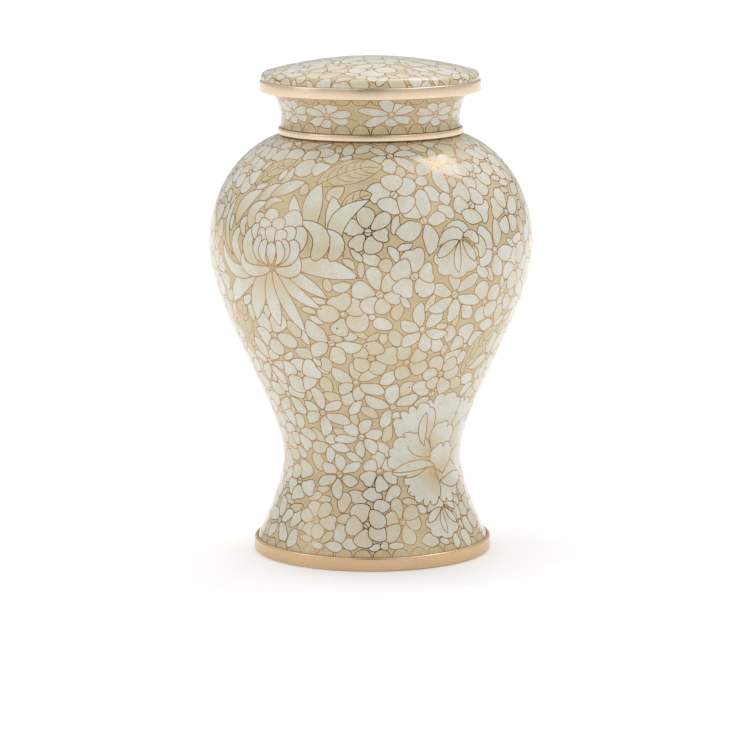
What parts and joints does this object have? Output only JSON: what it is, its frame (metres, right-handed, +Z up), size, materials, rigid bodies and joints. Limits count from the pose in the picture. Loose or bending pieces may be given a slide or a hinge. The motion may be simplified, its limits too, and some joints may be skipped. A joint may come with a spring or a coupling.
{
  "type": "cremation urn",
  "caption": "Baluster-shaped cloisonne cremation urn: full belly, narrow waist, spreading foot, brass bands and a low domed lift-off lid.",
  "frame": {"origin": "centre of the foot ring's underside, which is what the urn stands on", "axes": "+Z up along the axis that every piece is turned about; the side that faces the picture's camera is -Y"},
  "size_m": [0.1718, 0.1718, 0.2633],
  "materials": {
    "enamel": "glossy vitreous enamel in cream and tan between fine copper-gold wires, on copper",
    "brass": "satin, finely brushed round the urn"
  },
  "bodies": {
    "root": {"vessel": "enamel", "foot_ring": "brass", "neck_ring": "brass", "lid_rim": "brass", "lid_dome": "enamel"}
  },
  "joints": []
}
